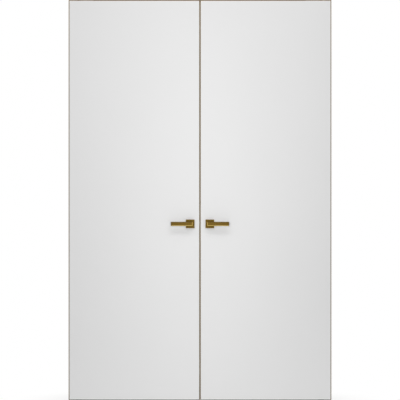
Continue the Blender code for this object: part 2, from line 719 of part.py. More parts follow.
def main():
    for old in list(bpy.data.objects):
        bpy.data.objects.remove(old)
    make_head()
    make_floor_fittings()
    leaves = {}
    for name, side in SIDES.items():
        swing = axis_empty(f"{name}_leaf_axis", (across(side, PIVOT_AT), 0.0, 0.0))
        turn = axis_empty(f"{name}_lever_axis", (across(side, HANDLE_BACKSET), 0.0, HANDLE_Z), swing)
        leaves[name] = (swing, turn, *make_leaf(name, swing))
        make_handle(name, swing, turn)

    swing, turn, stile, strips = leaves["right"]
    slide = axis_empty("right_latch_axis", (across(1, LATCH_RECESS), 0.0, LATCH_Z), swing)
    make_latch(stile, strips, swing, turn, slide)

    swing, turn, stile, strips = leaves["left"]
    make_strike(stile, strips, swing)
    make_meeting_seal(strips, swing)
    for end, height in (("top", TOP), ("bottom", BOTTOM)):
        slide = axis_empty(f"left_{end}_bolt_axis", (across(-1, BOLT_INSET), 0.0, height), swing)
        make_flush_bolt(end, stile, strips, swing, slide)
    bpy.context.view_layer.update()


main()
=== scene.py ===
"""Dresses a flush double door: painted leaves, gold edging, lever handles and fittings, on a plain stage.

Lengths are in metres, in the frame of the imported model. The viewer stands on the -Y side.
"""

import json
import math

import bmesh
import bpy
from bpy.props import FloatProperty, FloatVectorProperty, IntProperty, PointerProperty
from mathutils import Matrix, Vector

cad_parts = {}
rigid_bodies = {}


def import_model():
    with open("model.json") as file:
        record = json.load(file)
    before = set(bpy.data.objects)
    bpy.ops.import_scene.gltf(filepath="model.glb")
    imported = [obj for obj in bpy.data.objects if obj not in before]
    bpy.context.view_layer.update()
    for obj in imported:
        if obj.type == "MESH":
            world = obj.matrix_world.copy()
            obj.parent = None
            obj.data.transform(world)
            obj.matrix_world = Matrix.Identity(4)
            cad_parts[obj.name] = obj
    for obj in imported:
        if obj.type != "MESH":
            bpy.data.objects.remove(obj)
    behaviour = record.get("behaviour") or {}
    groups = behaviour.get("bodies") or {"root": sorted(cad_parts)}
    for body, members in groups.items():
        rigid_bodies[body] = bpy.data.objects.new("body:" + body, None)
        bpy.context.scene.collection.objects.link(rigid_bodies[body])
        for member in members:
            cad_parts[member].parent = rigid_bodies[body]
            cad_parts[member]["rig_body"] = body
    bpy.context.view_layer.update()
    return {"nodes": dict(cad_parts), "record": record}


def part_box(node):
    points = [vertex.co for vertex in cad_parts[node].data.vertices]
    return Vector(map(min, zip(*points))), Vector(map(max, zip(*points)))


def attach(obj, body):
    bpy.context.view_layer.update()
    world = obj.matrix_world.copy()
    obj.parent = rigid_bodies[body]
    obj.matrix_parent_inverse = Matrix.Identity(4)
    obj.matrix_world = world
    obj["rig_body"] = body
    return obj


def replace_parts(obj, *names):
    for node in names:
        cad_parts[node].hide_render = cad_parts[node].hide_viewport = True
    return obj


bl_info = {
    "name": "Flush Double Door",
    "version": (1, 0, 0),
    "blender": (4, 5, 0),
    "location": "View3D > Sidebar > Door",
    "description": "Dresses a flush double door with gold edging and sets it on a plain stage",
    "category": "Object",
}

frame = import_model()
SLOT_OF = {part["node"]: part["material_slot"] for part in frame["record"]["subparts"]}
SIDES = ("left", "right")
FACES = {"front": -1, "back": 1}

# Angles between faces: those that lie in one plane, those shaded as sharp, those rounded
FLAT = math.radians(1)
SHARP = math.radians(40)
CORNER = math.radians(25)
SAME_POINT = 1e-6

# How far a piece shows wear on its rounded edges, and how strong the painted highlight is on the levers'
# lower and short-end bevels
EDGE_WEAR = 0.5
BEVEL_HIGHLIGHT = 1.0
BEVEL_LEAN = (0.5, 0.9)  # how much of a bevel's normal runs along Y

# A screw's head: its rings as shares of its radius and rise, its side and recess as shares of its rise
SCREW_SEGMENTS = 24
SCREW_RINGS = ((0.12, 0.3), (0.25, 0.2), (0.1, 0.0))
SCREW_SIDE = 1.5
SCREW_RECESS = 1.2
CROSS_SHARE = 0.55
CROSS_ARM = math.radians(15)
HEXAGON_SHARE = 0.6
STOP_SCREWS = 6
FLOOR_SCREWS = 8

SEAL_SEGMENTS = 20
FLARE_STEPS = 5

# Rounder edges, as multiples of the metal arris
SOFT = 2
SOFTER = 3

# The floor: how far it lies below the part, where its fade starts and ends, and its shares of glow
FLOOR_SEGMENTS = 96
FLOOR_DROP = 0.0005
FLOOR_FADE = (0.35, 0.95)
FLOOR_GLOW = 0.3
VIEW_GLOW = 0.3
RIM_GLOW = 0.4

# Each lamp's place, the point that it faces, and its width and height
LAMPS = {
    "key_light": ((0.0, -2.2, 3.2), (0.0, 0.0, 2.4), (3.0, 1.0)),
    "near_light": ((0.0, -0.9, 1.2), (0.0, 0.0, 1.2), (0.3, 2.6)),
    "front_light": ((0.0, -2.6, 1.2), (0.0, 0.0, 1.3), (0.4, 0.4)),
    "rear_light": ((0.9, 2.6, 2.0), (0.0, 0.0, 1.3), (0.9, 0.9)),
}


def colour_setting(name, description, default):
    return FloatVectorProperty(
        name=name, description=description, subtype="COLOR", size=3, min=0.0, max=1.0, default=default
    )


def length_setting(name, description, default):
    return FloatProperty(
        name=name, description=description, unit="LENGTH", min=0.0, precision=5, default=default
    )


def factor_setting(name, description, default):
    return FloatProperty(
        name=name, description=description, subtype="FACTOR", min=0.0, max=1.0, default=default
    )


def power_setting(name, description, default):
    return FloatProperty(name=name, description=description, unit="POWER", min=0.0, default=default)


class DoorPaint(bpy.types.PropertyGroup):
    """The paint on the leaves and the head."""

    colour: colour_setting("Colour", "Off-white of the paint", (0.80, 0.80, 0.80))
    roughness: factor_setting("Roughness", "How dull the paint is", 0.5)
    peel_size: length_setting("Roller mark", "Width of one mark that the roller leaves", 0.0016)
    peel_depth: length_setting("Roller depth", "Depth of the roller's marks", 0.00003)


class DoorMetal(bpy.types.PropertyGroup):
    """The metals of the edging, the handles and the hidden fittings."""

    edging: colour_setting("Edging", "Gold of the leaves' edging", (0.155, 0.108, 0.047))
    edging_roughness: factor_setting("Edging roughness", "How dull the edging is", 0.36)
    handle: colour_setting("Handles", "Bronze gold of the levers and roses", (0.122, 0.074, 0.015))
    # Lighter bronze for wear on the levers' rounded edges, and painted highlight on their lower and short-end
    # bevels
    handle_wear_and_highlight: colour_setting("Rubbed handles", "Where hands have rubbed the levers", (0.60, 0.44, 0.13))
    handle_roughness: factor_setting("Handle roughness", "How dull the handles are", 0.34)
    steel: colour_setting("Steel", "Grey of the plated fittings", (0.50, 0.50, 0.49))
    steel_roughness: factor_setting("Steel roughness", "How dull the fittings are", 0.38)
    streak_width: length_setting("Streak width", "Width of one line of the brushing", 0.0006)
    streak_length: length_setting("Streak length", "Length of one line of the brushing", 0.06)


class DoorInner(bpy.types.PropertyGroup):
    """The timber, boards, plastics and rubber inside the door."""

    pine: colour_setting("Pine", "Stiles and rails", (0.62, 0.43, 0.24))
    chipboard: colour_setting("Chipboard", "Core of the leaves", (0.50, 0.36, 0.21))
    nylon: colour_setting("Nylon", "Bushes, washers and rose bases", (0.09, 0.09, 0.09))
    rubber: colour_setting("Rubber", "Seals", (0.12, 0.085, 0.05))


class DoorShape(bpy.types.PropertyGroup):
    """Small shapes that the solids leave out."""

    board_arris: length_setting("Board arris", "Rounding of the skins' edges", 0.0004)
    metal_arris: length_setting("Metal arris", "Rounding of the fittings' edges", 0.00025)
    lip_width: length_setting("Lip width", "How far the edging laps the front skin", 0.0015)
    lip_rise: length_setting("Lip rise", "How far the edging's lip stands off the skin", 0.00025)
    bar_thick: length_setting("Lever thickness", "Depth of the lever's bar", 0.010)
    bar_chamfer: length_setting("Lever chamfer", "Width of the bevel round the lever's face", 0.005)
    neck_radius: length_setting("Neck radius", "Radius of the lever's neck", 0.009)
    neck_flare: length_setting("Neck flare", "How far the neck spreads where it meets the bar", 0.0018)
    collar_width: length_setting("Collar width", "Width of the ring round the neck", 0.0026)
    collar_height: length_setting("Collar height", "How far the ring stands off the rose", 0.0014)
    round_steps: IntProperty(
        name="Round steps", description="Steps in a full turn", min=12, max=96, default=48
    )
    screw_radius: length_setting("Screw radius", "Radius of a plate screw's head", 0.0036)
    screw_rise: length_setting("Screw rise", "How far a screw's head stands off its plate", 0.0005)
    grub_radius: length_setting("Grub screw radius", "Radius of the screw under the lever's neck", 0.0024)
    screw_margin: length_setting("Screw margin", "From a plate's end to its screw", 0.011)


class DoorStage(bpy.types.PropertyGroup):
    """The floor, the light and the camera."""

    lens: FloatProperty(name="Lens", description="Long lens, so the view is almost parallel", default=250.0)
    floor_radius: length_setting("Floor radius", "Radius of the floor", 1.3)
    floor_colour: colour_setting("Floor colour", "Pale floor", (0.90, 0.90, 0.90))
    fill: factor_setting("Fill", "Light from all round", 0.45)
    key_power: power_setting("Key light", "Wide soft light in front, above", 19.0)
    near_power: power_setting("Near light", "Tall, weak light before the meeting line", 2.0)
    front_power: power_setting("Front light", "Lamp straight in front, shown in no metal", 15.5)
    rear_power: power_setting("Rear light", "Soft light behind", 28.0)


class Wire:
    """A node's output: arithmetic on it adds Math nodes."""

    def __init__(self, finish, socket):
        self.finish = finish
        self.socket = socket

    def maths(self, operation, first, second):
        return self.finish.node("ShaderNodeMath", {"operation": operation}, {0: first, 1: second})

    def __add__(self, other):
        return self.maths("ADD", self, other)

    def __radd__(self, other):
        return self.maths("ADD", other, self)

    def __sub__(self, other):
        return self.maths("SUBTRACT", self, other)

    def __rsub__(self, other):
        return self.maths("SUBTRACT", other, self)

    def __mul__(self, other):
        return self.maths("MULTIPLY", self, other)

    def __rmul__(self, other):
        return self.maths("MULTIPLY", other, self)


class Finish:
    """A material or a world while its nodes are laid."""

    def __init__(self, owner):
        owner.use_nodes = True
        self.owner = owner
        self.tree = owner.node_tree

    def node(self, kind, settings=None, values=None, output=0):
        """Adds a node, with its settings set first, then the values or links of its sockets."""
        made = self.tree.nodes.new(kind)
        for key, value in (settings or {}).items():
            if key == "stops":
                self.set_stops(made.color_ramp, value)
            else:
                setattr(made, key, value)
        for key, value in (values or {}).items():
            self.feed(made.inputs[key], value)
        return Wire(self, made.outputs[output])

    def set_stops(self, ramp, stops):
        while len(ramp.elements) < len(stops):
            ramp.elements.new(1.0)
        for element, (place, colour) in zip(ramp.elements, stops):
            element.position = place
            element.color = (*colour, 1.0)

    def feed(self, socket, value):
        if isinstance(value, Wire):
            self.tree.links.new(value.socket, socket)
        elif socket.type == "RGBA" and len(value) == 3:
            socket.default_value = (*value, 1.0)
        else:
            socket.default_value = value

    def surface(self, **values):
        """Feeds the sockets of the material's own shader; an underscore in a name stands for a space."""
        shader = self.tree.nodes["Principled BSDF"]
        for key, value in values.items():
            self.feed(shader.inputs[key.replace("_", " ")], value)
        return self.owner

    def place(self, scale=(1.0, 1.0, 1.0)):
        """Where a point lies on the piece, with each axis scaled."""
        where = self.node("ShaderNodeTexCoord", output="Object")
        return self.node("ShaderNodeMapping", values={"Vector": where, "Scale": scale})

    def noise(self, place, scale, detail=2.0, roughness=0.5):
        values = {"Vector": place, "Scale": scale, "Detail": detail, "Roughness": roughness}
        return self.node("ShaderNodeTexNoise", values=values)

    def cells(self, place, scale, feature):
        values = {"Vector": place, "Scale": scale}
        return self.node("ShaderNodeTexVoronoi", {"feature": feature}, values)

    def mix(self, factor, low, high):
        """A colour between two others, through the Mix node's colour sockets."""
        settings = {"data_type": "RGBA", "clamp_factor": True}
        return self.node("ShaderNodeMix", settings, {0: factor, 6: low, 7: high}, output=2)

    def bump(self, height, depth):
        return self.node("ShaderNodeBump", values={"Height": height, "Distance": depth})

    def seen(self):
        """1 for rays from the camera, off gloss and through glass, and 0 for the rest."""
        camera, glossy, clear = (
            self.node("ShaderNodeLightPath", output=f"Is {ray} Ray")
            for ray in ("Camera", "Glossy", "Transmission")
        )
        return camera + glossy + clear

    def wear_and_highlight(self):
        """The mask of wear and painted highlight: 1 on the levers' lower and short-end bevels, where it
        paints a highlight, less on a piece's rounded edges, where it shows wear, 0 elsewhere.
        """
        return self.node("ShaderNodeAttribute", {"attribute_name": "arris"}, output="Fac")


def shade(colour, level):
    return tuple(min(1.0, part * level) for part in colour)


def drawn_out(along, across, lengthwise):
    """A noise's scale, in marks to the metre, with its own value along one axis."""
    return [lengthwise if axis == along else across for axis in "XYZ"]


def varied(level, *swings):
    """A level that rises and falls with noises, each by its own amount about the noise's middle."""
    for noise, amount, middle in swings:
        level = level + (noise - middle) * amount
    return level


def finish_named(name, lay):
    """The material of this name, with its nodes laid the first time that it is asked for."""
    made = bpy.data.materials.get(name)
    if made is None:
        made = lay(Finish(bpy.data.materials.new(name)))
    return made


def paint():
    """Sprayed and rolled paint: an even off-white with the roller's faint marks."""
    want = bpy.context.scene.door_paint

    def lay(finish):
        place = finish.place()
        peel = finish.noise(place, scale=1.0 / want.peel_size)
        cloud = finish.noise(place, scale=2.2, detail=3.0)
        darker, lighter = shade(want.colour, 0.985), shade(want.colour, 1.015)
        return finish.surface(
            Base_Color=finish.mix(cloud, darker, lighter),
            Roughness=varied(want.roughness, (peel, 0.10, 0.5), (cloud, 0.08, 0.5)),
            Normal=finish.bump(peel, want.peel_depth),
        )

    return finish_named("satin_white_paint", lay)


def brushed(name, colour, wear_and_highlight_tint, roughness, along):
    """Brushed metal whose lines run along one axis, lighter where its edges show wear and, on the levers,
    with a painted highlight on the lower and short-end bevels.
    """
    want = bpy.context.scene.door_metal

    def lay(finish):
        scale = drawn_out(along, across=1.0 / want.streak_width, lengthwise=1.0 / want.streak_length)
        streak = finish.noise(finish.place(scale), scale=1.0, detail=3.0, roughness=0.6)
        cloud = finish.noise(finish.place(), scale=14.0, detail=3.0)
        wear_and_highlight = finish.wear_and_highlight()
        dark_line, light_line, dulled = (shade(colour, level) for level in (0.66, 1.34, 0.90))
        tint = finish.mix(cloud * 0.3, finish.mix(streak, dark_line, light_line), dulled)
        streak_depth = want.streak_width * 0.02
        return finish.surface(
            # The lighter tint shows wear on rounded edges and is a painted highlight on the levers' lower and
            # short-end bevels
            Base_Color=finish.mix(wear_and_highlight * (0.7 + streak * 0.4), tint, wear_and_highlight_tint),
            Metallic=1.0,
            Roughness=varied(roughness, (streak, 0.18, 0.5), (cloud, 0.08, 0.5)) - wear_and_highlight * 0.06,
            Normal=finish.bump(streak, streak_depth),
        )

    return finish_named(f"{name}_along_{along.lower()}", lay)


def edging_gold(along):
    want = bpy.context.scene.door_metal
    return brushed("gold_anodised_edging", want.edging, shade(want.edging, 1.3), want.edging_roughness, along)


def handle_bronze(along="X"):
    want = bpy.context.scene.door_metal
    return brushed("bronze_gold_handle", want.handle, want.handle_wear_and_highlight, want.handle_roughness, along)


def brushed_steel(along="X"):
    want = bpy.context.scene.door_metal
    return brushed("brushed_steel", want.steel, shade(want.steel, 1.3), want.steel_roughness, along)


def plated_steel():
    """Zinc-plated steel: a grey with soft crystal patches and fine dulling."""
    want = bpy.context.scene.door_metal

    def lay(finish):
        place = finish.place()
        patch = finish.cells(place, scale=160.0, feature="SMOOTH_F1")
        grain = finish.noise(place, scale=1400.0, detail=3.0)
        wear_and_highlight = finish.wear_and_highlight()
        lighter, darker, wear_and_highlight_tint = (shade(want.steel, level) for level in (1.08, 0.78, 1.3))
        return finish.surface(
            Base_Color=finish.mix(wear_and_highlight * 0.5, finish.mix(patch, lighter, darker), wear_and_highlight_tint),
            Metallic=1.0,
            Roughness=varied(want.steel_roughness, (grain, 0.2, 0.5), (patch, 0.14, 0.4)),
            Normal=finish.bump(grain, depth=0.000006),
        )

    return finish_named("zinc_plated_steel", lay)


def moulded(name, colour, roughness, grain_size, depth):
    """Moulded plastic or rubber with the fine grain of its mould."""

    def lay(finish):
        place = finish.place()
        grain = finish.noise(place, scale=1.0 / grain_size)
        cloud = finish.noise(place, scale=30.0)
        wear_and_highlight = finish.wear_and_highlight()
        darker, lighter, wear_and_highlight_tint = (shade(colour, level) for level in (0.85, 1.2, 1.7))
        return finish.surface(
            Base_Color=finish.mix(wear_and_highlight * 0.3, finish.mix(cloud, darker, lighter), wear_and_highlight_tint),
            Roughness=varied(roughness, (grain, 0.16, 0.5)),
            Normal=finish.bump(grain, depth),
        )

    return finish_named(name, lay)


def nylon():
    colour = bpy.context.scene.door_inner.nylon
    return moulded("moulded_nylon", colour, roughness=0.55, grain_size=0.0006, depth=0.00002)


def rubber():
    colour = bpy.context.scene.door_inner.rubber
    return moulded("seal_rubber", colour, roughness=0.8, grain_size=0.0004, depth=0.00002)


def pine(along):
    """Planed pine with its growth lines along one axis."""
    colour = bpy.context.scene.door_inner.pine

    def lay(finish):
        ring_place = finish.place(drawn_out(along, across=42.0, lengthwise=1.6))
        rings = finish.noise(ring_place, scale=1.0, detail=4.0, roughness=0.55)
        fibre_place = finish.place(drawn_out(along, across=700.0, lengthwise=18.0))
        fibre = finish.noise(fibre_place, scale=1.0)
        stops = [(place, shade(colour, level)) for place, level in ((0.35, 1.1), (0.5, 0.9), (0.62, 0.62))]
        grain = finish.node("ShaderNodeValToRGB", {"stops": stops}, {"Fac": rings})
        dark_fibre = shade(colour, 0.7)
        return finish.surface(
            Base_Color=finish.mix(fibre * 0.35, grain, dark_fibre),
            Roughness=0.56 + fibre * 0.2,
            Normal=finish.bump(fibre, depth=0.00004),
        )

    return finish_named(f"planed_pine_along_{along.lower()}", lay)


def chipboard():
    """Pressed chips of wood, each with its own tone."""
    colour = bpy.context.scene.door_inner.chipboard

    def lay(finish):
        place = finish.place()
        chip = finish.cells(place, scale=420.0, feature="F1")
        tone = finish.noise(place, scale=260.0, detail=4.0)
        darker, lighter, rim = (shade(colour, level) for level in (0.6, 1.35, 0.65))
        return finish.surface(
            Base_Color=finish.mix(chip * 0.6, finish.mix(tone, darker, lighter), rim),
            Roughness=0.7 + tone * 0.2,
            Normal=finish.bump(chip, depth=0.0002),
        )

    return finish_named("pressed_chipboard", lay)


def body_of(node):
    return frame["nodes"][node]["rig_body"]


def show(name, bm, finish, body):
    """Makes a finished piece of a mesh, and lets it ride on a body."""
    mesh = bpy.data.meshes.new(name)
    bm.to_mesh(mesh)
    bm.free()
    mesh.shade_smooth()
    mesh.set_sharp_from_angle(angle=SHARP)
    mesh.materials.append(finish)
    made = bpy.data.objects.new(name, mesh)
    bpy.context.scene.collection.objects.link(made)
    evened = made.modifiers.new("even_normals", "WEIGHTED_NORMAL")
    evened.keep_sharp = True
    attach(made, body)
    return made


def stand_for(node, name, bm, finish):
    """Shows a mesh in place of a CAD node."""
    made = show(name, bm, finish, body_of(node))
    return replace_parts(made, node)


def coat(finish, *nodes):
    """Gives CAD nodes a finish, and leaves their shapes as they are."""
    for node in nodes:
        mesh = frame["nodes"][node].data
        mesh.materials.clear()
        mesh.materials.append(finish)


def whole_copy(node):
    """A CAD node's mesh with its loose triangles merged and its flat faces made whole."""
    bm = bmesh.new()
    bm.from_mesh(frame["nodes"][node].data)
    bmesh.ops.remove_doubles(bm, verts=bm.verts, dist=SAME_POINT)
    bmesh.ops.dissolve_limit(bm, angle_limit=FLAT, verts=bm.verts, edges=bm.edges)
    return bm


def rounded(bm, width, segments=2):
    """Rounds the corners of a mesh, and marks the new faces as its arris."""
    arris = bm.faces.layers.float.get("arris") or bm.faces.layers.float.new("arris")
    edges = [edge for edge in bm.edges if edge.is_manifold and edge.calc_face_angle() > CORNER]
    made = bmesh.ops.bevel(
        bm,
        geom=edges,
        offset=width,
        offset_type="OFFSET",
        segments=segments,
        profile=0.5,
        affect="EDGES",
        clamp_overlap=True,
        material=-1,
    )
    for face in made["faces"]:
        face[arris] = EDGE_WEAR
    return bm


def eased(node, finish, width):
    """Shows a CAD node with its corners rounded."""
    return stand_for(node, f"{node}_eased", rounded(whole_copy(node), width), finish)


def box_mesh(low, high):
    size = Matrix.Diagonal((Vector(high) - Vector(low)).to_4d())
    bm = bmesh.new()
    bmesh.ops.create_cube(bm, size=1.0, matrix=Matrix.Translation((Vector(low) + Vector(high)) / 2) @ size)
    return bm


def raised(outline, start, end):
    """A flat plate with an outline of (x, z) corners, from one place along Y to another."""
    bm = bmesh.new()
    base = bm.faces.new([bm.verts.new((x, start, z)) for x, z in outline])
    grown = bmesh.ops.extrude_face_region(bm, geom=[base])
    moved = [item for item in grown["geom"] if isinstance(item, bmesh.types.BMVert)]
    bmesh.ops.translate(bm, verts=moved, vec=(0.0, end - start, 0.0))
    bmesh.ops.recalc_face_normals(bm, faces=bm.faces)
    return bm


def turned(profile, centre, closed=False):
    """Spins a profile of (radius, place along Y) about the line through centre that runs along Y."""
    bm = bmesh.new()
    verts = [bm.verts.new((centre.x + radius, along, centre.z)) for radius, along in profile]
    edges = [bm.edges.new(pair) for pair in zip(verts, verts[1:])]
    if closed:
        edges.append(bm.edges.new((verts[-1], verts[0])))
    bmesh.ops.spin(
        bm,
        geom=verts + edges,
        cent=(centre.x, 0.0, centre.z),
        axis=(0.0, 1.0, 0.0),
        angle=math.tau,
        steps=bpy.context.scene.door_shape.round_steps,
        use_merge=True,
    )
    bmesh.ops.remove_doubles(bm, verts=bm.verts, dist=SAME_POINT / 10)
    bmesh.ops.recalc_face_normals(bm, faces=bm.faces)
    return bm


def cross_reach(angle):
    """How far a cross-shaped recess reaches at an angle, as a share of its arms."""
    turn = angle % (math.pi / 2)
    turn = min(turn, math.pi / 2 - turn)
    width = math.tan(CROSS_ARM)
    return min(1.0 / math.cos(turn), width / max(math.sin(turn), SAME_POINT))


def hexagon_reach(angle):
    """How far a hexagonal recess reaches at an angle, as a share of its corners."""
    turn = angle % (math.pi / 3) - math.pi / 6
    return math.cos(math.pi / 6) / math.cos(turn)


def add_screw(bm, place, facing, radius, rise, reach, share):
    """Adds a domed screw head with a recess, whose base lies in its plate."""
    before = set(bm.verts)
    made = bmesh.ops.create_circle(bm, cap_ends=True, segments=SCREW_SEGMENTS, radius=radius)
    top = made["verts"][0].link_faces[0]
    grown = bmesh.ops.extrude_face_region(bm, geom=[top])
    top = next(item for item in grown["geom"] if isinstance(item, bmesh.types.BMFace))
    bmesh.ops.translate(bm, verts=top.verts[:], vec=(0.0, 0.0, rise * SCREW_SIDE))
    for width, height in SCREW_RINGS:
        bmesh.ops.inset_region(bm, faces=[top], thickness=radius * width, depth=rise * height)
    for vert in top.verts:
        angle = math.atan2(vert.co.y, vert.co.x)
        far = radius * share * reach(angle)
        vert.co.x = far * math.cos(angle)
        vert.co.y = far * math.sin(angle)
    sunk = bmesh.ops.extrude_face_region(bm, geom=[top])
    floor = next(item for item in sunk["geom"] if isinstance(item, bmesh.types.BMFace))
    bmesh.ops.delete(bm, geom=[top], context="FACES_ONLY")
    bmesh.ops.translate(bm, verts=floor.verts[:], vec=(0.0, 0.0, -rise * SCREW_RECESS))
    fresh = [vert for vert in bm.verts if vert not in before]
    lift = Matrix.Translation((0.0, 0.0, -rise))
    turn = Vector(facing).to_track_quat("Z", "Y").to_matrix().to_4x4()
    bmesh.ops.transform(bm, verts=fresh, matrix=Matrix.Translation(place) @ turn @ lift)


def plate_screws(name, node, places, facing, finish):
    """A set of like screws in one plate."""
    want = bpy.context.scene.door_shape
    bm = bmesh.new()
    for place in places:
        add_screw(bm, place, facing, want.screw_radius, want.screw_rise, cross_reach, CROSS_SHARE)
    bmesh.ops.recalc_face_normals(bm, faces=bm.faces)
    return show(name, bm, finish, body_of(node))


def end_screws(node, facing_x, finish):
    """Two screws, near the ends of an upright plate in a leaf's meeting edge."""
    low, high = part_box(node)
    face = low.x if facing_x < 0 else high.x
    margin = bpy.context.scene.door_shape.screw_margin
    middle = (low.y + high.y) / 2
    places = [(face, middle, low.z + margin), (face, middle, high.z - margin)]
    return plate_screws(f"{node}_screws", node, places, (facing_x, 0.0, 0.0), finish)


def strip_of_rubber(node, name, along):
    """A bulb seal in the room of a plain one."""
    low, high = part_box(node)
    middle, half = (low + high) / 2, (high - low) / 2
    axis = "xyz".index(along)
    others = [index for index in range(3) if index != axis]
    bm = bmesh.new()
    made = bmesh.ops.create_circle(bm, cap_ends=True, segments=SEAL_SEGMENTS, radius=1.0)
    for vert in made["verts"]:
        flat = vert.co.copy()
        vert.co[axis] = low[axis]
        vert.co[others[0]] = middle[others[0]] + half[others[0]] * flat.x
        vert.co[others[1]] = middle[others[1]] + half[others[1]] * flat.y
    grown = bmesh.ops.extrude_face_region(bm, geom=bm.faces[:])
    move = Vector()
    move[axis] = high[axis] - low[axis]
    moved = [item for item in grown["geom"] if isinstance(item, bmesh.types.BMVert)]
    bmesh.ops.translate(bm, verts=moved, vec=move)
    bmesh.ops.recalc_face_normals(bm, faces=bm.faces)
    return stand_for(node, name, bm, rubber())


class DOOR_OT_skins(bpy.types.Operator):
    """Shows the painted skins with eased edges"""

    bl_idname = "door.skins"
    bl_label = "Painted skins"

    def execute(self, context):
        for side in SIDES:
            for face in FACES:
                eased(f"{side}_{face}_skin", paint(), context.scene.door_shape.board_arris)
        return {"FINISHED"}


class DOOR_OT_edging(bpy.types.Operator):
    """Shows the gold edging, brushed along each strip, with its lips over the front skins"""

    bl_idname = "door.edging"
    bl_label = "Gold edging"

    def execute(self, context):
        want = context.scene.door_shape
        lines = {"meeting": "Z", "pivot": "Z", "top": "X", "bottom": "X"}
        for side in SIDES:
            for edge, along in lines.items():
                eased(f"{side}_{edge}_edge", edging_gold(along), want.metal_arris)
            self.lap(want, side)
        return {"FINISHED"}

    def lap(self, want, side):
        """Lays the lips of the pivot-side and top strips over the front skin, mitred where they meet."""
        low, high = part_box(f"{side}_front_skin")
        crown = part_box(f"{side}_top_edge")[1].z
        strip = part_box(f"{side}_pivot_edge")
        if side == "left":
            outer, border, inner = strip[0].x, low.x + want.lip_width, high.x
        else:
            outer, border, inner = strip[1].x, high.x - want.lip_width, low.x
        below = high.z - want.lip_width
        upright = ((outer, low.z), (outer, crown), (border, below), (border, low.z))
        level = ((outer, crown), (inner, crown), (inner, below), (border, below))
        for edge, along, outline in (("pivot", "Z", upright), ("top", "X", level)):
            node = f"{side}_{edge}_edge"
            bm = raised(outline, low.y, low.y - want.lip_rise)
            finish = edging_gold(along)
            show(f"{node}_lip", rounded(bm, want.lip_rise / 3), finish, body_of(node))


class DOOR_OT_levers(bpy.types.Operator):
    """Builds the levers: a bevelled bar, a turned neck and the screw that holds it"""

    bl_idname = "door.levers"
    bl_label = "Levers"

    def execute(self, context):
        for side in SIDES:
            for face, where in FACES.items():
                self.build(context.scene.door_shape, side, f"{side}_{face}_lever", where)
            coat(brushed_steel("Y"), f"{side}_spindle")
        return {"FINISHED"}

    def build(self, want, side, node, where):
        low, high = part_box(node)
        outer = low.y if where < 0 else high.y
        inner = outer - where * want.bar_thick
        bar = box_mesh((low.x, min(outer, inner), low.z), (high.x, max(outer, inner), high.z))
        rim = [edge for edge in bar.edges if all(abs(vert.co.y - outer) < SAME_POINT for vert in edge.verts)]
        bmesh.ops.bevel(
            bar,
            geom=rim,
            offset=want.bar_chamfer,
            offset_type="OFFSET",
            segments=1,
            profile=0.5,
            affect="EDGES",
            material=-1,
        )
        self.mark_highlit_bevels(bar, side)
        stand_for(node, f"{node}_bar", rounded(bar, want.metal_arris), handle_bronze("X"))

        low_spindle, high_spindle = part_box(f"{side}_spindle")
        centre = (low_spindle + high_spindle) / 2
        start = high.y if where < 0 else low.y
        flare = want.neck_flare
        profile = [(0.0, start), (want.neck_radius, start)]
        for step in range(FLARE_STEPS + 1):
            turn = math.pi / 2 * step / FLARE_STEPS
            radius = want.neck_radius + flare * (1.0 - math.cos(turn))
            profile.append((radius, inner - where * flare * (1.0 - math.sin(turn))))
        sunk = where * want.bar_thick / 4
        profile.append((0.0, inner + sunk))
        body, slot = body_of(node), SLOT_OF[node]
        show(f"{node}_neck", turned(profile, centre), handle_bronze("Y"), body)

        grub = bmesh.new()
        below = (centre.x, (start + inner) / 2, centre.z - want.neck_radius)
        down = (0.0, 0.0, -1.0)
        rise = want.screw_rise / 2
        add_screw(grub, below, down, want.grub_radius, rise, hexagon_reach, HEXAGON_SHARE)
        bmesh.ops.recalc_face_normals(grub, faces=grub.faces)
        show(f"{node}_grub_screw", grub, plated_steel(), body)

    def mark_highlit_bevels(self, bar, side):
        """Marks for a painted highlight the lower bevel and the one at the lever's short end, lighter where
        light would catch them.
        """
        arris = bar.faces.layers.float.new("arris")
        inward = Vector((1.0 if side == "left" else -1.0, 0.0, 0.0))
        bar.normal_update()
        for face in bar.faces:
            slanted = BEVEL_LEAN[0] < abs(face.normal.y) < BEVEL_LEAN[1]
            if slanted and max(-face.normal.z, face.normal.dot(inward)) > BEVEL_LEAN[0]:
                face[arris] = BEVEL_HIGHLIGHT


class DOOR_OT_roses(bpy.types.Operator):
    """Shows the roses, each with a ring round its neck"""

    bl_idname = "door.roses"
    bl_label = "Roses"

    def execute(self, context):
        want = context.scene.door_shape
        for side in SIDES:
            low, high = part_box(f"{side}_spindle")
            centre = (low + high) / 2
            for face, where in FACES.items():
                cover = f"{side}_{face}_rose_cover"
                eased(cover, handle_bronze("X"), want.metal_arris)
                low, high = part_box(cover)
                outer = low.y if where < 0 else high.y
                near = want.neck_radius + want.collar_height / 4
                far = near + want.collar_width
                crown = outer + where * want.collar_height
                slope = want.collar_height / 3
                shoulder = [(far, crown - where * slope), (far - slope, crown)]
                ring = [(near, outer), (far, outer), *shoulder, (near, crown)]
                bm = turned(ring, centre, closed=True)
                show(f"{side}_{face}_rose_collar", bm, handle_bronze("Y"), body_of(cover))
                coat(nylon(), f"{side}_{face}_rose_base")
        return {"FINISHED"}


